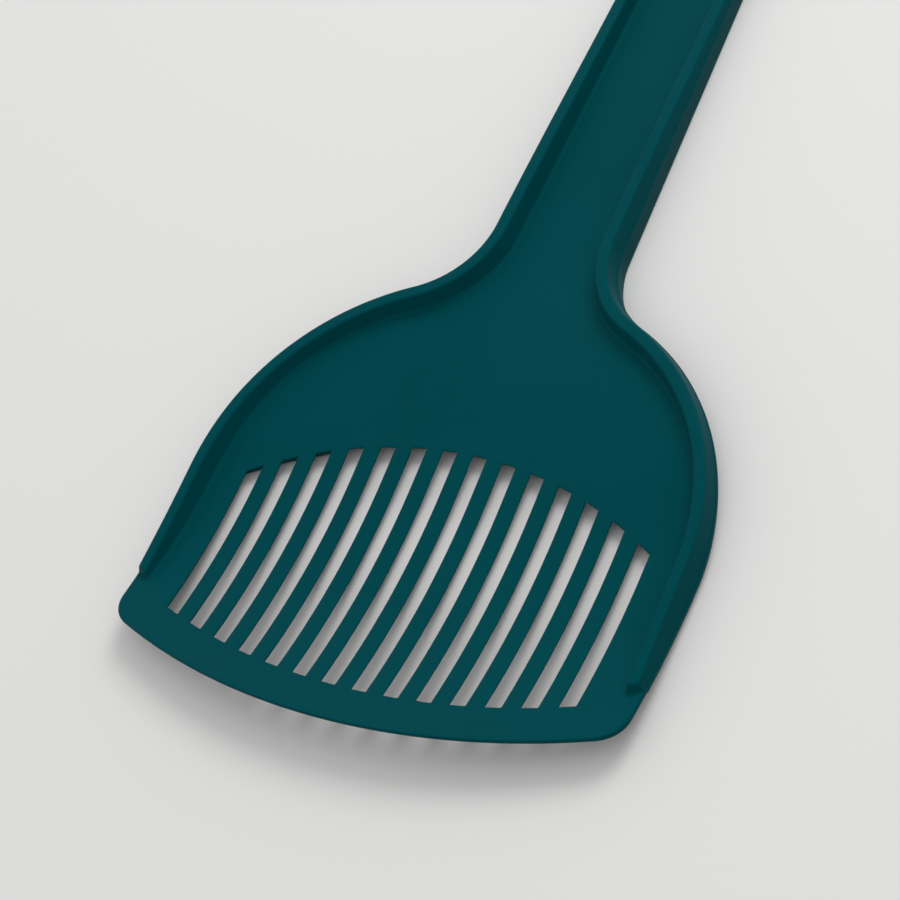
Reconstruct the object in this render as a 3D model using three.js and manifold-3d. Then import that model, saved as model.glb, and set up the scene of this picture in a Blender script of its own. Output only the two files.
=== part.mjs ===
// Cat litter scoop, one injection moulding: a dished pan with slots, a low rim and a channel handle.
// Millimetres. X runs across, Y from the lip to the end of the handle, Z up from the table.
// The moulding is one skin: a section of the rim is carried round the outline, and the pan closes it.
import * as THREE from "three";
import { mergeVertices } from "three/addons/utils/BufferGeometryUtils.js";
import Module from "manifold-3d";

// Outline, seen from above
const totalLength = 285;
const panHalfWidth = 62.6;
const lipRadius = 159;
const cornerRadius = 7.6;
const sideLength = 33.3;
const sideSplay = THREE.MathUtils.degToRad(0.8);
const shoulderRadius = 61.7;
const neckRadius = 21.7;
const handleHalfWidth = 16.2;
const handleTaper = THREE.MathUtils.degToRad(1.35);

// Heights along the length
const panThickness = 2;
const lipThickness = 1.3;
const dishRadius = 140;
const dishFromLip = 49;
const rearSlope = 0.08;
const acrossRadius = 1900;
const rimAtNeck = 9.2;
const rimAtTail = 6.8;
const channelAtNeck = 4.2;
const channelAtTail = 3;
const handleDropLength = 95;

// Rim section
const crestAtHeel = 2.3;
const crestWidth = 2.8;
const outerDraft = THREE.MathUtils.degToRad(14);
const innerDraft = THREE.MathUtils.degToRad(12);
const coveRadius = 1;
const edgeRadius = 0.7;
const panEdgeHeight = 1.3;
const skirtThickness = 2;
const partingHeight = 4.9;
const partingStep = 0.2;
const coveShare = 0.8;
const skirtRun = 13.3;
const cornerRoom = 0.55;

// Heel, where the rim begins
const rimFromLip = 10.4;
const heelHeight = 1.95;
const heelRamp = 1.3;
const heelSlant = 0.47;
const heelBlend = 20;

// Facets of the curves
const roundSteps = 2;
const coveSteps = 3;
const panColumns = 4;

// Slots
const slotCount = 14;
const slotPitch = 7.5;
const slotWidth = 3.5;
const lipLand = 8.7;
const slotReach = 69.9;
const slotCrownRadius = 95;
const slotCornerRadius = 0.3;

const { clamp, lerp, smoothstep } = THREE.MathUtils;

// The right half of the outline as a chain of arcs and lines, from the middle of the lip to the
// middle of the handle's end. A heading is measured from +Y towards +X.
function makeOutline() {
  const lipTurn = Math.asin((panHalfWidth - cornerRadius * Math.cos(sideSplay)) / (lipRadius - cornerRadius));
  const sideEndX = panHalfWidth + sideLength * Math.sin(sideSplay);
  const turnCosine = (handleHalfWidth - sideEndX + shoulderRadius * Math.cos(sideSplay) +
    neckRadius * Math.cos(handleTaper)) / (shoulderRadius + neckRadius);
  const shoulderTurn = Math.acos(turnCosine);
  const segments = [];
  let x = 0;
  let y = 0;
  let heading = Math.PI / 2;
  let start = 0;
  const add = (name, endHeading, length, steps) => {
    segments.push({ name, x, y, heading, start, length, steps, curvature: (heading - endHeading) / length });
    const end = pointOn(segments.at(-1), length);
    x = end.x;
    y = end.y;
    heading = end.heading;
    start += length;
  };
  const arc = (name, radius, endHeading, steps) =>
    add(name, endHeading, radius * Math.abs(heading - endHeading), steps);
  arc("lip", lipRadius, Math.PI / 2 - lipTurn, 10);
  arc("corner", cornerRadius, sideSplay, 6);
  add("side", sideSplay, sideLength, 7);
  arc("shoulder", shoulderRadius, -shoulderTurn, 18);
  arc("neck", neckRadius, -handleTaper, 10);
  const endFactor = (1 - Math.sin(handleTaper)) / Math.cos(handleTaper);
  const gripLength = (totalLength - y - x * endFactor) /
    (Math.cos(handleTaper) - Math.sin(handleTaper) * endFactor);
  add("grip", -handleTaper, gripLength, 12);
  arc("end", x / Math.cos(handleTaper), -Math.PI / 2, 10);
  return segments;
}

// The place and heading at a distance along one arc or line.
function pointOn(segment, along) {
  const turned = segment.heading - segment.curvature * along;
  const middle = segment.heading - segment.curvature * along / 2;
  const half = segment.curvature * along / 2;
  const chord = Math.abs(half) < 1e-9 ? along : along * Math.sin(half) / half;
  return {
    x: segment.x + chord * Math.sin(middle),
    y: segment.y + chord * Math.cos(middle),
    heading: turned,
  };
}

const outline = makeOutline();
const outlineLength = outline.at(-1).start + outline.at(-1).length;
const segmentNamed = (name) => outline.find((segment) => segment.name === name);

function outlineAt(distance) {
  const s = clamp(distance, 0, outlineLength);
  const segment = outline.findLast((candidate) => candidate.start <= s + 1e-9);
  return pointOn(segment, s - segment.start);
}

// The rim begins a little way behind the lip, along an arc about the same centre.
const heelY = lipRadius - Math.sqrt((lipRadius - rimFromLip) ** 2 - panHalfWidth ** 2);
const heelStart = segmentNamed("side").start + Math.max(heelY - segmentNamed("side").y, 0);
const shoulderY = segmentNamed("shoulder").y;
const neckY = segmentNamed("neck").y;
const gripY = segmentNamed("grip").y;
const rimAtHeel = floorHeight(outlineAt(heelStart).x, heelY) + heelHeight;

// Height of the rim's crest: a shallow bow from the heel to the neck, then lower along the handle.
function crestHeight(y) {
  if (y < gripY) return rimAtNeck - (rimAtNeck - rimAtHeel) * ((gripY - y) / (gripY - heelY)) ** 2;
  return lerp(rimAtNeck, rimAtTail, smoothstep(y, gripY, gripY + handleDropLength));
}

// Top of the pan and of the channel in the handle. The pan is dished along its length and, less, across.
function floorHeight(x, y) {
  const straightFrom = dishRadius * rearSlope;
  const behind = y - dishFromLip;
  const along = behind < straightFrom
    ? behind ** 2 / (2 * dishRadius)
    : straightFrom ** 2 / (2 * dishRadius) + rearSlope * (behind - straightFrom);
  const across = x ** 2 / (2 * acrossRadius);
  const channel = lerp(channelAtNeck, channelAtTail, smoothstep(y, gripY, gripY + handleDropLength));
  return lerp(panThickness + along + across, channel, smoothstep(y, slotReach, gripY));
}

function undersideHeight(x, y) {
  return floorHeight(x, y) - lerp(lipThickness, panThickness, smoothstep(y, 0, 2 * lipLand));
}

// Foot of the rim: level with the pan's underside, then down to the table beside the handle.
function footHeight(x, y) {
  return undersideHeight(x, y) * (1 - smoothstep(y, neckY, neckY + skirtRun));
}

// One section of the rim as [inset from the outline, height], from under the pan, over the crest and
// down to the pan. In front of the heel the same points lie flat on the lip.
function rimSection(distance) {
  const { x, y } = outlineAt(distance);
  const rise = smoothstep(distance, heelStart, heelStart + heelRamp);
  const wallRise = Math.max(crestHeight(y) - floorHeight(x, y), heelHeight);
  const crest = floorHeight(x, y) + wallRise;
  const onHandle = smoothstep(y, shoulderY, gripY);
  const parting = (...at) => Math.min(
    lerp(footHeight(...at) + panEdgeHeight, partingHeight, onHandle),
    floorHeight(...at) + rise * wallRise - edgeRadius - partingStep,
  );
  const lean = partingStep + Math.max(crest - parting(x, y), edgeRadius) * Math.tan(outerDraft);
  const above = (height) => (...at) => floorHeight(...at) + height;
  const section = [
    [skirtThickness + 1, undersideHeight],
    [skirtThickness, footHeight],
    [lerp(panEdgeHeight, edgeRadius, rise), footHeight],
    [lerp(edgeRadius / 2, edgeRadius / 6, rise), (...at) => footHeight(...at) + edgeRadius / 2],
    [0, parting],
    [lerp(0, partingStep, rise), (...at) => parting(...at) + partingStep / 4],
  ];
  const outerRound = edgeRadius * Math.tan((Math.PI / 2 - outerDraft) / 2);
  const innerRound = edgeRadius * Math.tan((Math.PI / 2 - innerDraft) / 2);
  const outerCentre = lerp(edgeRadius, lean + outerRound, rise);
  const inner = lean + lerp(crestAtHeel, crestWidth, smoothstep(y, heelY, neckY));
  for (let i = 0; i <= roundSteps; i += 1) {
    const turn = lerp(outerDraft, Math.PI / 2, i / roundSteps);
    section.push([outerCentre - edgeRadius * Math.cos(turn),
      above(rise * wallRise - edgeRadius * (1 - Math.sin(turn)))]);
  }
  for (let i = roundSteps; i >= 0; i -= 1) {
    const turn = lerp(innerDraft, Math.PI / 2, i / roundSteps);
    section.push([inner - innerRound + edgeRadius * Math.cos(turn),
      above(rise * (wallRise - edgeRadius * (1 - Math.sin(turn))))]);
  }
  const straight = wallRise - edgeRadius * (1 - Math.sin(innerDraft));
  const cove = Math.min(coveRadius, coveShare * straight / (1 - Math.sin(innerDraft)));
  const wallFoot = section.at(-1)[0] + Math.tan(innerDraft) * (straight - cove * (1 - Math.sin(innerDraft)));
  for (let i = 0; i <= coveSteps; i += 1) {
    const turn = lerp(innerDraft, Math.PI / 2, i / coveSteps);
    section.push([wallFoot + cove * (Math.cos(innerDraft) - Math.cos(turn)),
      above(rise * cove * (1 - Math.sin(turn)))]);
  }
  return section;
}

// A point of the section in space. Insets are drawn in round the tight front corners, and slanted at
// the heel so that the rim ends parallel to the lip.
function skinPoint(distance, inset, height) {
  const side = segmentNamed("side");
  const room = lerp(cornerRoom, 1, smoothstep(distance, side.start - cornerRadius, heelStart));
  const nearHeel = 1 - smoothstep(Math.abs(distance - heelStart), 0, heelBlend);
  const slant = heelSlant * nearHeel * Math.min(inset, crestWidth + edgeRadius);
  const { x, y, heading } = outlineAt(distance - slant);
  const px = x - inset * room * Math.cos(heading);
  const py = y + inset * room * Math.sin(heading);
  return new THREE.Vector3(px, py, height(px, py));
}

// Distances along the outline at which a section is set, closer together where the rim begins.
function stationDistances() {
  const distances = [0];
  for (const { start, length, steps } of outline) {
    for (let i = 1; i <= steps; i += 1) distances.push(start + length * i / steps);
  }
  const clear = distances.filter((s) => Math.abs(s - heelStart - heelRamp / 2) > heelRamp);
  return [...clear, heelStart, heelStart + heelRamp / 2, heelStart + heelRamp].sort((a, b) => a - b);
}

// The moulding without its slots: rings of section points, mirrored, and closed above and below by
// rows of points from right to left.
function moulding() {
  const halfRings = stationDistances().map((distance) =>
    rimSection(distance).map(([inset, height]) => skinPoint(distance, inset, height)));
  const last = halfRings.length - 1;
  const mirrored = halfRings.slice(1, last).reverse()
    .map((ring) => ring.map((p) => new THREE.Vector3(-p.x, p.y, p.z)));
  const rings = [...halfRings, ...mirrored];
  const deep = rings[0].length;
  const points = rings.flat();
  const at = (ring, k) => (ring % rings.length) * deep + k;
  const faces = [];
  for (let i = 0; i < rings.length; i += 1) {
    for (let k = 0; k < deep - 1; k += 1) {
      faces.push([at(i, k), at(i + 1, k), at(i + 1, k + 1)], [at(i, k), at(i + 1, k + 1), at(i, k + 1)]);
    }
  }
  for (const [k, height, up] of [[deep - 1, floorHeight, true], [0, undersideHeight, false]]) {
    const rows = halfRings.map((ring, i) => {
      if (i === 0 || i === last) return Array(panColumns + 1).fill(at(i, k));
      const row = [at(i, k)];
      for (let j = 1; j < panColumns; j += 1) {
        const x = ring[k].x * (1 - 2 * j / panColumns);
        row.push(points.length);
        points.push(new THREE.Vector3(x, ring[k].y, height(x, ring[k].y)));
      }
      return [...row, at(rings.length - i, k)];
    });
    for (let i = 0; i < last; i += 1) {
      for (let j = 0; j < panColumns; j += 1) {
        const [a, b, c, d] = [rows[i][j], rows[i + 1][j], rows[i + 1][j + 1], rows[i][j + 1]];
        for (const [p, q, r] of [[a, b, c], [a, c, d]]) {
          if (p !== q && q !== r && r !== p) faces.push(up ? [p, q, r] : [p, r, q]);
        }
      }
    }
  }
  const geometry = new THREE.BufferGeometry().setFromPoints(points);
  geometry.setIndex(faces.flat());
  return geometry;
}

// One slot from above, between the arc behind the lip and the crowned arc at the back of the pan.
function slotShape(middle) {
  const frontY = (x) => lipRadius - Math.sqrt((lipRadius - lipLand) ** 2 - x ** 2);
  const backY = (x) => slotReach - slotCrownRadius + Math.sqrt(slotCrownRadius ** 2 - x ** 2);
  const left = middle - slotWidth / 2;
  const right = middle + slotWidth / 2;
  const corners = [
    new THREE.Vector2(left, frontY(left)),
    new THREE.Vector2(right, frontY(right)),
    new THREE.Vector2(right, backY(right)),
    new THREE.Vector2(left, backY(left)),
  ];
  const shape = new THREE.Shape();
  corners.forEach((corner, i) => {
    const before = corners[(i + 3) % 4].clone().sub(corner).setLength(slotCornerRadius).add(corner);
    const after = corners[(i + 1) % 4].clone().sub(corner).setLength(slotCornerRadius).add(corner);
    if (i === 0) shape.moveTo(before.x, before.y);
    else shape.lineTo(before.x, before.y);
    shape.quadraticCurveTo(corner.x, corner.y, after.x, after.y);
  });
  shape.closePath();
  return shape;
}

function slotCutters() {
  const depth = panThickness + rimAtNeck + dishFromLip ** 2 / dishRadius;
  const cutters = [];
  for (let i = 0; i < slotCount; i += 1) {
    const shape = slotShape((i - (slotCount - 1) / 2) * slotPitch);
    const cutter = new THREE.ExtrudeGeometry(shape, { depth, bevelEnabled: false, curveSegments: 2 });
    cutters.push(cutter.translate(0, 0, -panThickness));
  }
  return cutters;
}

const wasm = await Module();
wasm.setup();

function toSolid(geometry) {
  const bare = geometry.clone();
  bare.deleteAttribute("normal");
  bare.deleteAttribute("uv");
  const merged = mergeVertices(bare, 1e-4);
  return new wasm.Manifold(new wasm.Mesh({
    numProp: 3,
    vertProperties: merged.getAttribute("position").array,
    triVerts: new Uint32Array(merged.index.array),
  }));
}

function toGeometry(solid) {
  const mesh = solid.getMesh();
  const geometry = new THREE.BufferGeometry();
  geometry.setAttribute("position", new THREE.BufferAttribute(mesh.vertProperties, 3));
  geometry.setIndex(new THREE.BufferAttribute(mesh.triVerts, 1));
  geometry.computeVertexNormals();
  return geometry;
}

let body = toSolid(moulding());
for (const cutter of slotCutters()) body = body.subtract(toSolid(cutter));

const tealPlastic = new THREE.MeshStandardMaterial({ color: 0x00444b, roughness: 0.5, metalness: 0 });
const scoop = new THREE.Mesh(toGeometry(body), tealPlastic);
scoop.name = "scoop";
scoop.position.y = -totalLength / 2;

const part = new THREE.Group();
part.add(scoop);

export default part;
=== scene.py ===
import math
from types import SimpleNamespace

import bmesh
import bpy
from mathutils import Matrix, Vector


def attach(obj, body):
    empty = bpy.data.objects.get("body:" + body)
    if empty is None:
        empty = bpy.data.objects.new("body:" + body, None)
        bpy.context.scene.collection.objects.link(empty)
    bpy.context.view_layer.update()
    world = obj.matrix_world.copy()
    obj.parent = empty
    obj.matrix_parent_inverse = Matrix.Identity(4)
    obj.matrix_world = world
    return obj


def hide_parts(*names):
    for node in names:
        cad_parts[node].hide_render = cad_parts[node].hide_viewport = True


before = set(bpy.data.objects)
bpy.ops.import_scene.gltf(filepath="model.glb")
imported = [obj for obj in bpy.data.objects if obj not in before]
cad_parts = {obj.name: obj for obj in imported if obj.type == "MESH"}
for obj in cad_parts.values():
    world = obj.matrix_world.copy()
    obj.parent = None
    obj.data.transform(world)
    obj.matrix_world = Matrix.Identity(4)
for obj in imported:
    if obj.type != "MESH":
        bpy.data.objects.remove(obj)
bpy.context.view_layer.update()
print("frame loaded")


def lerp(a, b, share):
    return a + (b - a) * share


def smoothstep(value, low, high):
    share = min(max((value - low) / (high - low), 0.0), 1.0)
    return share * share * (3.0 - 2.0 * share)


# the scoop, in millimetres, with y counted from the lip
scoopSettings = {
    "totalLength": 285.0,
    "panHalfWidth": 62.6,
    "lipRadius": 159.0,    # the lip is an arc, seen from above
    "cornerRadius": 7.6,
    "sideLength": 33.3,
    "sideSplay": math.radians(0.8),
    "shoulderRadius": 61.7,
    "neckRadius": 21.7,
    "handleHalfWidth": 16.2,
    "handleTaper": math.radians(1.35),
    "panThickness": 2.0,
    "lipThickness": 1.3,
    "dishRadius": 140.0,
    "dishFromLip": 49.0,    # the lowest line of the pan
    "rearSlope": 0.08,    # the pan ends its dish with this slope
    "acrossRadius": 1900.0,    # the pan is slightly hollow across
    "rimAtNeck": 9.2,
    "rimAtTail": 6.8,
    "channelAtNeck": 4.2,
    "channelAtTail": 3.0,
    "handleDropLength": 95.0,    # rim and channel sink to their tail heights over this length
    "crestAtHeel": 2.3,    # width of the rim's top at the heel
    "crestWidth": 2.8,    # and from the neck on
    "outerDraft": math.radians(14.0),
    "innerDraft": math.radians(12.0),
    "coveRadius": 1.0,
    "coveShare": 0.8,    # the most of the wall that the cove may take up
    "edgeRadius": 0.7,
    "panEdgeHeight": 1.3,    # the round below the edge of the pan
    "skirtThickness": 2.0,
    "skirtRamp": 1.0,    # from the skirt's inner side up to the underside
    "skirtRun": 13.3,    # the skirt comes down to the table over this length
    "partingHeight": 4.9,
    "partingStep": 0.2,
    "cornerRoom": 0.55,    # insets are drawn in round the tight front corners
    "rimFromLip": 10.4,
    "heelHeight": 1.95,
    "heelRamp": 1.3,    # the rim rises over this length
    "heelSlant": 0.47,    # so that the rim ends parallel to the lip
    "heelBlend": 20.0,    # the slant fades out over this length
    "heelSteps": 6,
    "footSteps": 5,
    "roundSteps": 6,
    "coveSteps": 6,
    "columnPitch": 3.75,
    "mergeDistance": 1e-4,
    "sharpAngle": math.radians(26),
    "stations": {"lip": 50, "corner": 18, "side": 32, "shoulder": 70, "neck": 32, "grip": 60, "end": 30},
}
scoop = SimpleNamespace(**scoopSettings)

# the slots widen downwards below a narrow land, so that nothing jams in them
slotSettings = {
    "count": 14,
    "pitch": 7.5,
    "width": 3.5,
    "lipLand": 8.7,    # from the lip to the slots
    "reach": 69.9,    # from the lip to the back of the middle slots
    "crownRadius": 95.0,    # the back ends lie on this arc
    "cornerRadius": 0.25,
    "cornerSteps": 3,
    "land": 0.3,    # upright wall at the top of a slot
    "depth": 2.6,    # the cutters reach this far below the pan's top
    "flare": math.tan(math.radians(35)),
    "frontZone": 0.5,    # points this near the front end are flared forwards
    "backZone": 1.0,    # and these backwards
    "headroom": 3.0,    # and this far above it
    "step": 1.5,    # length of a cutter's facets
    "mergeDistance": 0.02,
    "edgeRound": 0.1,
    "edgeSteps": 2,
    "edgeAngle": math.radians(50),    # only edges sharper than this are rounded
    "edgeMargin": 1.0,
    "upward": 0.9,    # a face that points up at least this much is the pan's top
}
slots = SimpleNamespace(**slotSettings)
mm = 0.001    # metres in a millimetre


def pointOn(run, along):    # place and heading on one arc or line, the heading counted from +y towards +x
    half = run.curvature * along / 2
    chord = along if abs(half) < 1e-9 else along * math.sin(half) / half
    middle = run.heading - half
    return SimpleNamespace(
        x=run.x + chord * math.sin(middle),
        y=run.y + chord * math.cos(middle),
        heading=run.heading - 2 * half,
    )


def makeOutline():    # the right half, from the middle of the lip to the middle of the handle's end
    splay, taper = scoop.sideSplay, scoop.handleTaper
    cornerX = scoop.panHalfWidth - scoop.cornerRadius * math.cos(splay)
    lipTurn = math.asin(cornerX / (scoop.lipRadius - scoop.cornerRadius))
    sideEndX = scoop.panHalfWidth + scoop.sideLength * math.sin(splay)
    reach = scoop.shoulderRadius * math.cos(splay) + scoop.neckRadius * math.cos(taper)
    shoulderTurn = math.acos(
        (scoop.handleHalfWidth - sideEndX + reach) / (scoop.shoulderRadius + scoop.neckRadius))
    runs = {}
    here = SimpleNamespace(x=0.0, y=0.0, heading=math.pi / 2, start=0.0)

    def add(name, endHeading, length):
        run = SimpleNamespace(**vars(here), length=length, curvature=(here.heading - endHeading) / length)
        runs[name] = run
        end = pointOn(run, length)
        here.x, here.y, here.heading, here.start = end.x, end.y, end.heading, here.start + length

    def arc(name, radius, endHeading):
        add(name, endHeading, radius * abs(here.heading - endHeading))

    arc("lip", scoop.lipRadius, math.pi / 2 - lipTurn)
    arc("corner", scoop.cornerRadius, splay)
    add("side", splay, scoop.sideLength)
    arc("shoulder", scoop.shoulderRadius, -shoulderTurn)
    arc("neck", scoop.neckRadius, -taper)
    endFactor = (1 - math.sin(taper)) / math.cos(taper)
    add("grip", -taper,
        (scoop.totalLength - here.y - here.x * endFactor) / (math.cos(taper) - math.sin(taper) * endFactor))
    arc("end", here.x / math.cos(taper), -math.pi / 2)
    return runs


outline = makeOutline()
outlineLength = outline["end"].start + outline["end"].length
heelY = scoop.lipRadius - math.sqrt((scoop.lipRadius - scoop.rimFromLip) ** 2 - scoop.panHalfWidth ** 2)
heelStart = outline["side"].start + max(heelY - outline["side"].y, 0.0)
shoulderY = outline["shoulder"].y
neckY = outline["neck"].y
gripY = outline["grip"].y


def outlineAt(distance):
    s = min(max(distance, 0.0), outlineLength)
    run = [candidate for candidate in outline.values() if candidate.start <= s + 1e-9][-1]
    return pointOn(run, s - run.start)


def floorHeight(x, y):    # top of the pan and of the channel in the handle
    straightFrom = scoop.dishRadius * scoop.rearSlope
    behind = y - scoop.dishFromLip
    along = behind ** 2 / (2 * scoop.dishRadius)
    if behind > straightFrom:
        along = straightFrom ** 2 / (2 * scoop.dishRadius) + scoop.rearSlope * (behind - straightFrom)
    pan = scoop.panThickness + along + x ** 2 / (2 * scoop.acrossRadius)
    channel = lerp(
        scoop.channelAtNeck, scoop.channelAtTail, smoothstep(y, gripY, gripY + scoop.handleDropLength))
    return lerp(pan, channel, smoothstep(y, slots.reach, gripY))


def undersideHeight(x, y):    # the wall is thinner at the lip
    behindLip = smoothstep(y, 0, 2 * slots.lipLand)
    return floorHeight(x, y) - lerp(scoop.lipThickness, scoop.panThickness, behindLip)


def footHeight(x, y):    # level with the underside, then down to the table beside the handle
    return undersideHeight(x, y) * (1 - smoothstep(y, neckY, neckY + scoop.skirtRun))


rimAtHeel = floorHeight(outlineAt(heelStart).x, heelY) + scoop.heelHeight


def crestHeight(y):
    if y < gripY:
        return scoop.rimAtNeck - (scoop.rimAtNeck - rimAtHeel) * ((gripY - y) / (gripY - heelY)) ** 2
    return lerp(scoop.rimAtNeck, scoop.rimAtTail, smoothstep(y, gripY, gripY + scoop.handleDropLength))


def rimSection(distance):    # insets and heights from the underside, over the crest and down to the pan
    here = outlineAt(distance)
    rise = smoothstep(distance, heelStart, heelStart + scoop.heelRamp)
    wallRise = max(crestHeight(here.y) - floorHeight(here.x, here.y), scoop.heelHeight)
    onHandle = smoothstep(here.y, shoulderY, gripY)
    edge = scoop.edgeRadius

    def parting(x, y):
        return min(
            lerp(footHeight(x, y) + scoop.panEdgeHeight, scoop.partingHeight, onHandle),
            floorHeight(x, y) + rise * wallRise - edge - scoop.partingStep)

    def above(height):
        return lambda x, y: floorHeight(x, y) + height

    def foot(share):
        return lambda x, y: footHeight(x, y) + share * min(footInset, parting(x, y) - footHeight(x, y))

    crest = floorHeight(here.x, here.y) + wallRise
    lean = scoop.partingStep + max(crest - parting(here.x, here.y), edge) * math.tan(scoop.outerDraft)
    footInset = lerp(scoop.panEdgeHeight, edge, rise)
    section = [
        (scoop.skirtThickness + scoop.skirtRamp, undersideHeight),
        (scoop.skirtThickness, footHeight),
    ]
    for i in range(scoop.footSteps + 1):
        turn = math.pi / 2 * i / scoop.footSteps
        section.append((footInset * (1 - math.sin(turn)), foot(1 - math.cos(turn))))
    section.append((0.0, parting))
    section.append((lerp(0, scoop.partingStep, rise), lambda x, y: parting(x, y) + scoop.partingStep / 4))
    outerRound = edge * math.tan((math.pi / 2 - scoop.outerDraft) / 2)
    innerRound = edge * math.tan((math.pi / 2 - scoop.innerDraft) / 2)
    outerCentre = lerp(edge, lean + outerRound, rise)
    inner = lean + lerp(scoop.crestAtHeel, scoop.crestWidth, smoothstep(here.y, heelY, neckY))
    for i in range(scoop.roundSteps + 1):
        turn = lerp(scoop.outerDraft, math.pi / 2, i / scoop.roundSteps)
        section.append((
            outerCentre - edge * math.cos(turn),
            above(rise * wallRise - edge * (1 - math.sin(turn)))))
    for i in range(scoop.roundSteps, -1, -1):
        turn = lerp(scoop.innerDraft, math.pi / 2, i / scoop.roundSteps)
        section.append((
            inner - innerRound + edge * math.cos(turn),
            above(rise * (wallRise - edge * (1 - math.sin(turn))))))
    straight = wallRise - edge * (1 - math.sin(scoop.innerDraft))
    cove = min(scoop.coveRadius, scoop.coveShare * straight / (1 - math.sin(scoop.innerDraft)))
    wallDrop = straight - cove * (1 - math.sin(scoop.innerDraft))
    wallFoot = section[-1][0] + math.tan(scoop.innerDraft) * wallDrop
    for i in range(scoop.coveSteps + 1):
        turn = lerp(scoop.innerDraft, math.pi / 2, i / scoop.coveSteps)
        section.append((
            wallFoot + cove * (math.cos(scoop.innerDraft) - math.cos(turn)),
            above(rise * cove * (1 - math.sin(turn)))))
    return section


def skinPoint(distance, inset, height):
    cornerStart = outline["side"].start - scoop.cornerRadius
    room = lerp(scoop.cornerRoom, 1, smoothstep(distance, cornerStart, heelStart))
    nearHeel = 1 - smoothstep(abs(distance - heelStart), 0, scoop.heelBlend)
    slant = scoop.heelSlant * nearHeel * min(inset, scoop.crestWidth + scoop.edgeRadius)
    here = outlineAt(distance - slant)
    x = here.x - inset * room * math.cos(here.heading)
    y = here.y + inset * room * math.sin(here.heading)
    return Vector((x, y, height(x, y)))


def wholeSection(distance):    # the rim's section, carried on to the middle under and over the pan
    rim = [skinPoint(distance, inset, height) for inset, height in rimSection(distance)]
    pitch = scoop.columnPitch
    columns = [i * pitch for i in range(int(scoop.panHalfWidth / pitch) + 1)]

    def across(end, height):
        return [Vector((min(x, end.x), end.y, height(min(x, end.x), end.y))) for x in columns]

    return across(rim[0], undersideHeight) + rim + across(rim[-1], floorHeight)[::-1]


def stationDistances():
    distances = [0.0]
    for name, run in outline.items():
        steps = scoop.stations[name]
        distances += [run.start + run.length * i / steps for i in range(1, steps + 1)]
    middle = heelStart + scoop.heelRamp / 2
    clear = [s for s in distances if abs(s - middle) > scoop.heelRamp]
    heel = [heelStart + scoop.heelRamp * i / scoop.heelSteps for i in range(scoop.heelSteps + 1)]
    return sorted(clear + heel)


def addCutters():    # one box for each slot, its ends on the two arcs, flared and bent to the pan
    bm = bmesh.new()
    for i in range(slots.count):
        slot = bmesh.new()
        middle = (i - (slots.count - 1) / 2) * slots.pitch
        for v in bmesh.ops.create_cube(slot, size=1.0)["verts"]:
            x = middle + v.co.x * slots.width
            y = scoop.lipRadius - math.sqrt((scoop.lipRadius - slots.lipLand) ** 2 - x ** 2)
            if v.co.y > 0:
                y = slots.reach - slots.crownRadius + math.sqrt(slots.crownRadius ** 2 - x ** 2)
            v.co = (x, y, -slots.depth if v.co.z < 0 else slots.headroom)
        upright = [e for e in slot.edges if abs(e.verts[0].co.z - e.verts[1].co.z) > slots.headroom]
        bmesh.ops.bevel(
            slot, geom=upright, offset=slots.cornerRadius, offset_type="OFFSET",
            segments=slots.cornerSteps, profile=0.5, affect="EDGES", material=-1)
        near = min(v.co.y for v in slot.verts)
        far = max(v.co.y for v in slot.verts)
        cuts = [((0, 0, -slots.land), (0, 0, 1))]
        steps = int((far - near) / slots.step)
        cuts += [((0, lerp(near, far, k / steps), 0), (0, 1, 0)) for k in range(1, steps)]
        for place, normal in cuts:
            bmesh.ops.bisect_plane(
                slot, geom=slot.verts[:] + slot.edges[:] + slot.faces[:], plane_co=place, plane_no=normal)
        for v in slot.verts:
            spread = max(-v.co.z - slots.land, 0) * slots.flare
            v.co.x += math.copysign(spread, v.co.x - middle)
            if v.co.y < near + slots.frontZone:
                v.co.y -= spread
            if v.co.y > far - slots.backZone:
                v.co.y += spread
            v.co.z += floorHeight(v.co.x, v.co.y)
        made = bpy.data.meshes.new("slotCutter")
        slot.to_mesh(made)
        slot.free()
        bm.from_mesh(made)
        bpy.data.meshes.remove(made)
    return toObject(bm, "slotCutters")


def toObject(bm, name):    # from millimetres at the lip to metres in the frame
    bmesh.ops.translate(bm, vec=(0, -scoop.totalLength / 2, 0), verts=bm.verts)
    bmesh.ops.scale(bm, vec=(mm, mm, mm), verts=bm.verts)
    bmesh.ops.recalc_face_normals(bm, faces=bm.faces)
    mesh = bpy.data.meshes.new(name)
    bm.to_mesh(mesh)
    bm.free()
    made = bpy.data.objects.new(name, mesh)
    bpy.context.collection.objects.link(made)
    return made


def addSkin():    # the section is extruded from station to station, and the half is mirrored
    bm = bmesh.new()
    stations = stationDistances()
    row = [bm.verts.new(point) for point in wholeSection(stations[0])]
    for a, b in zip(row, row[1:]):
        bm.edges.new((a, b))
    for distance in stations[1:]:
        edges = [bm.edges.get(pair) for pair in zip(row, row[1:])]
        made = bmesh.ops.extrude_edge_only(bm, edges=edges)["geom"]
        fresh = {v for v in made if isinstance(v, bmesh.types.BMVert)}
        row = [next(e.other_vert(v) for e in v.link_edges if e.other_vert(v) in fresh) for v in row]
        for v, point in zip(row, wholeSection(distance)):
            v.co = point
    merge = scoop.mergeDistance
    bmesh.ops.remove_doubles(bm, verts=bm.verts, dist=merge)
    bmesh.ops.dissolve_degenerate(bm, dist=merge, edges=bm.edges)
    bmesh.ops.mirror(
        bm, geom=bm.verts[:] + bm.edges[:] + bm.faces[:], matrix=Matrix(), merge_dist=merge, axis="X")
    bmesh.ops.remove_doubles(bm, verts=bm.verts, dist=merge)
    return toObject(bm, "scoopSkin")


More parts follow.
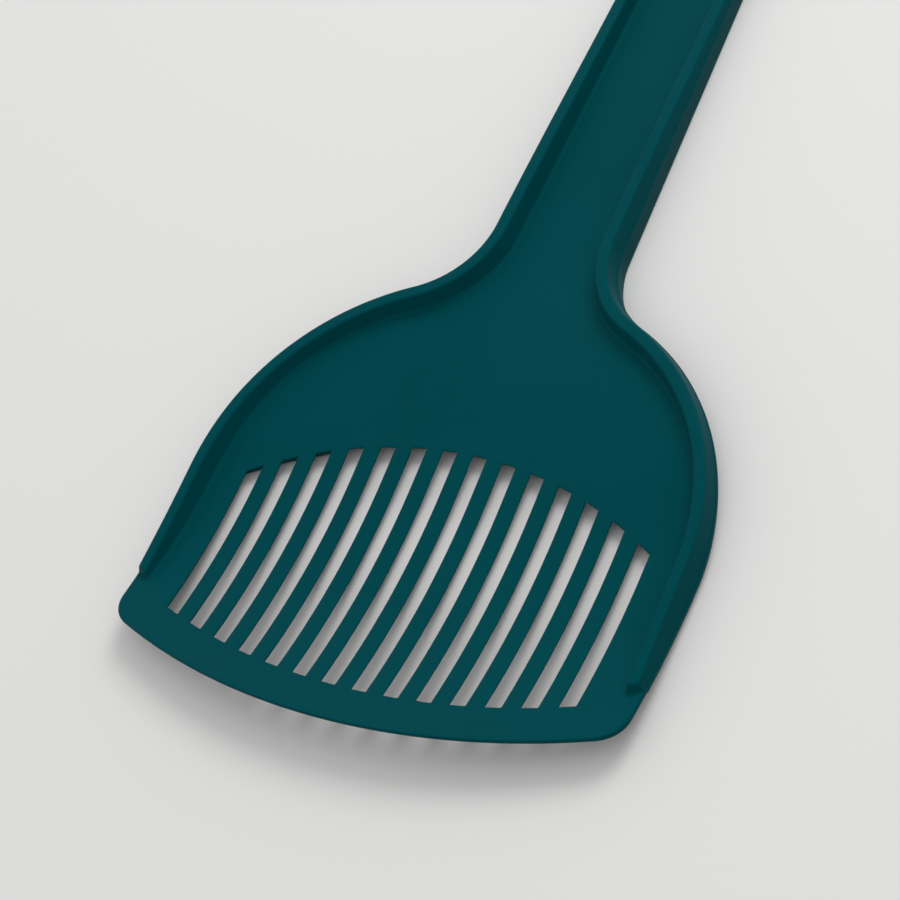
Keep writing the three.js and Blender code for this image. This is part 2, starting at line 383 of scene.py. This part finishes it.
def cutSlots(skin, cutters):
    cut = skin.modifiers.new("slots", "BOOLEAN")
    cut.operation = "DIFFERENCE"
    cut.solver = "EXACT"
    cut.object = cutters
    bpy.context.view_layer.update()
    whole = skin.evaluated_get(bpy.context.evaluated_depsgraph_get())
    mesh = bpy.data.meshes.new_from_object(whole)
    skin.modifiers.clear()
    skin.data = mesh
    bpy.data.objects.remove(cutters)
    return skin


def roundSlots(skin):    # a small round along the upper edge of every slot
    bm = bmesh.new()
    bm.from_mesh(skin.data)
    bmesh.ops.remove_doubles(bm, verts=bm.verts, dist=slots.mergeDistance * mm)
    bmesh.ops.dissolve_degenerate(bm, dist=slots.mergeDistance * mm, edges=bm.edges)
    side = slots.count * slots.pitch / 2 * mm
    front = (-scoop.totalLength / 2 + slots.lipLand - slots.edgeMargin) * mm
    back = (-scoop.totalLength / 2 + slots.reach + slots.edgeMargin) * mm
    sharp = []
    for e in bm.edges:
        middle = (e.verts[0].co + e.verts[1].co) / 2
        if abs(middle.x) < side and front < middle.y < back and len(e.link_faces) == 2:
            upward = sum(f.normal.z > slots.upward for f in e.link_faces)
            if upward == 1 and e.calc_face_angle() > slots.edgeAngle:
                sharp.append(e)
    print("slot edges to round:", len(sharp))
    bmesh.ops.bevel(
        bm, geom=sharp, offset=slots.edgeRound * mm, offset_type="OFFSET", segments=slots.edgeSteps,
        profile=0.5, affect="EDGES", clamp_overlap=False, material=-1)
    bm.to_mesh(skin.data)
    bm.free()


class Signal:    # an output socket, so that shader sums are written as plain sums
    def __init__(self, finish, socket):
        self.finish = finish
        self.socket = socket

    def maths(self, operation, first, second):
        return self.finish.node("ShaderNodeMath", {"operation": operation}, {0: first, 1: second})

    def __add__(self, other):
        return self.maths("ADD", self, other)

    def __radd__(self, other):
        return self.maths("ADD", other, self)

    def __sub__(self, other):
        return self.maths("SUBTRACT", self, other)

    def __rsub__(self, other):
        return self.maths("SUBTRACT", other, self)

    def __mul__(self, other):
        return self.maths("MULTIPLY", self, other)

    def __rmul__(self, other):
        return self.maths("MULTIPLY", other, self)


class Finish:    # a node tree, and the one way in which its nodes are added
    def __init__(self, tree):
        self.tree = tree

    def node(self, kind, settings=None, inputs=None, output=0):
        made = self.tree.nodes.new(kind)
        for name, value in (settings or {}).items():
            setattr(made, name, value)
        for name, value in (inputs or {}).items():
            self.feed(made.inputs[name], value)
        return Signal(self, made.outputs[output])

    def feed(self, socket, value):
        if isinstance(value, Signal):
            self.tree.links.new(value.socket, socket)
        else:
            socket.default_value = value


plasticSettings = {
    "colour": (0.0, 0.0552, 0.0668, 1.0),
    "paleColour": (0.0, 0.0602, 0.0715, 1.0),
    "scuffColour": (0.004, 0.0760, 0.0860, 1.0),
    "scuffShare": 0.35,    # how much the scuffs show
    "specularTint": (0.0, 0.95, 1.0, 1.0),    # no red in the sheen
    "specularLevel": 0.06,
    "roughness": 0.50,
    "mottleRoughness": 0.05,
    "grainRoughness": 0.08,
    "scuffRoughness": 0.12,
    "noiseRoughness": 0.55,
    "mottleScale": 22.0,
    "mottleRange": (0.35, 0.65),
    "grainScale": 1500.0,
    "grainDepth": 0.000045,
    "waveScale": 55.0,
    "waveDepth": 0.0003,
    "hairScale": (1500.0, 45.0, 1500.0),
    "hairRange": (0.66, 0.74),
    "patchScale": 30.0,
    "patchRange": (0.50, 0.66),
    "scuffDepth": 0.00002,
}
plastic = SimpleNamespace(**plasticSettings)


def makePlastic():
    material = bpy.data.materials.new("tealPlastic")
    material.use_nodes = True
    finish = Finish(material.node_tree)
    shader = material.node_tree.nodes["Principled BSDF"]
    place = finish.node("ShaderNodeTexCoord", output="Object")

    def noise(scale, detail, vector=place):
        return finish.node(
            "ShaderNodeTexNoise", None,
            {"Vector": vector, "Scale": scale, "Detail": detail, "Roughness": plastic.noiseRoughness})

    def ramp(value, limits):
        low, high = limits
        return finish.node(
            "ShaderNodeMapRange", {"clamp": True},
            {"Value": value, "From Min": low, "From Max": high, "To Min": 0.0, "To Max": 1.0})

    def mix(factor, first, second):
        return finish.node(
            "ShaderNodeMix", {"data_type": "RGBA"}, {0: factor, 6: first, 7: second}, output=2)

    mottle = ramp(noise(plastic.mottleScale, 3.0), plastic.mottleRange)
    grain = noise(plastic.grainScale, 2.0)
    wave = noise(plastic.waveScale, 1.0)
    lengthwise = finish.node("ShaderNodeMapping", None, {"Vector": place, "Scale": plastic.hairScale})
    hairs = ramp(noise(1.0, 3.0, lengthwise), plastic.hairRange)
    patches = ramp(noise(plastic.patchScale, 2.0), plastic.patchRange)
    scuff = hairs * patches    # faint hair scratches along the scoop, as use leaves them

    colour = mix(mottle, plastic.colour, plastic.paleColour)
    colour = mix(scuff * plastic.scuffShare, colour, plastic.scuffColour)
    roughness = (
        plastic.roughness + mottle * plastic.mottleRoughness
        + (grain - 0.5) * plastic.grainRoughness + scuff * plastic.scuffRoughness)
    height = wave * plastic.waveDepth + grain * plastic.grainDepth - scuff * plastic.scuffDepth
    bump = finish.node("ShaderNodeBump", None, {"Height": height, "Strength": 1.0, "Distance": 1.0})
    finish.feed(shader.inputs["Base Color"], colour)
    finish.feed(shader.inputs["Roughness"], roughness)
    finish.feed(shader.inputs["Normal"], bump)
    shader.inputs["Specular IOR Level"].default_value = plastic.specularLevel
    shader.inputs["Specular Tint"].default_value = plastic.specularTint
    return material


def dressSkin(skin):
    skin.data.materials.clear()
    skin.data.materials.append(makePlastic())
    skin.data.shade_smooth()
    skin.data.set_sharp_from_angle(angle=scoop.sharpAngle)
    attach(skin, "root")
    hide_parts("scoop")


skin = cutSlots(addSkin(), addCutters())
roundSlots(skin)
dressSkin(skin)
print("scoop made")


stageSettings = {
    "floorSize": 4.0,
    "floorColour": (0.80, 0.80, 0.79, 1.0),
    "bounceColour": (0.10, 0.10, 0.10, 1.0),    # what the floor gives back to the scoop
    "floorRoughness": 0.9,
    "floorSpecular": 0.1,
    "skyStrength": 0.70,
    "skySeen": 0.92,    # the sky behind the floor's edge
    "lampPlace": (0.20, 0.72, 0.85),
    "lampSize": 0.6,
    "lampPower": 4.8,
    "cameraPlace": (0.2792, -0.3099, 0.4556),
    "cameraRight": (0.8584, 0.3913, -0.3318),
    "cameraUp": (-0.1681, 0.8256, 0.5387),
    "cameraLens": 107.2,
    "sensorWidth": 36.0,
    "clipStart": 0.01,
}
stage = SimpleNamespace(**stageSettings)


def backgroundRays(finish):    # 1 for rays that show the background, 0 for rays that light the scoop
    camera, glossy, transmission = [
        finish.node("ShaderNodeLightPath", output=f"Is {kind} Ray")
        for kind in ("Camera", "Glossy", "Transmission")]
    return camera + glossy + transmission


def addFloor():
    bm = bmesh.new()
    bmesh.ops.create_grid(bm, x_segments=1, y_segments=1, size=stage.floorSize / 2)
    mesh = bpy.data.meshes.new("floor")
    bm.to_mesh(mesh)
    bm.free()
    floor = bpy.data.objects.new("floor", mesh)
    bpy.context.collection.objects.link(floor)
    material = bpy.data.materials.new("paleFloor")
    material.use_nodes = True
    finish = Finish(material.node_tree)
    shader = material.node_tree.nodes["Principled BSDF"]
    colour = finish.node(
        "ShaderNodeMix", {"data_type": "RGBA"},
        {0: backgroundRays(finish), 6: stage.bounceColour, 7: stage.floorColour}, output=2)
    finish.feed(shader.inputs["Base Color"], colour)
    shader.inputs["Roughness"].default_value = stage.floorRoughness
    shader.inputs["Specular IOR Level"].default_value = stage.floorSpecular
    mesh.materials.append(material)


def addLight():
    world = bpy.data.worlds.new("softSky")
    bpy.context.scene.world = world
    world.use_nodes = True
    finish = Finish(world.node_tree)
    background = world.node_tree.nodes["Background"]
    strength = stage.skyStrength + backgroundRays(finish) * (stage.skySeen - stage.skyStrength)
    finish.feed(background.inputs["Color"], (1.0, 1.0, 1.0, 1.0))
    finish.feed(background.inputs["Strength"], strength)
    data = bpy.data.lights.new("keyLamp", "AREA")
    data.shape = "DISK"
    data.size = stage.lampSize
    data.energy = stage.lampPower
    lamp = bpy.data.objects.new("keyLamp", data)
    bpy.context.collection.objects.link(lamp)
    lamp.location = stage.lampPlace
    lamp.rotation_euler = (-Vector(stage.lampPlace)).to_track_quat("-Z", "Y").to_euler()


def addCamera():
    data = bpy.data.cameras.new("view")
    data.sensor_width = stage.sensorWidth
    data.lens = stage.cameraLens
    data.clip_start = stage.clipStart
    camera = bpy.data.objects.new("view", data)
    bpy.context.collection.objects.link(camera)
    right = Vector(stage.cameraRight).normalized()
    back = right.cross(Vector(stage.cameraUp)).normalized()
    turn = Matrix((right, back.cross(right), back)).transposed()
    camera.matrix_world = Matrix.Translation(stage.cameraPlace) @ turn.to_4x4()
    bpy.context.scene.camera = camera


addFloor()
addLight()
addCamera()
bpy.context.scene.view_settings.view_transform = "Standard"
print("stage set")
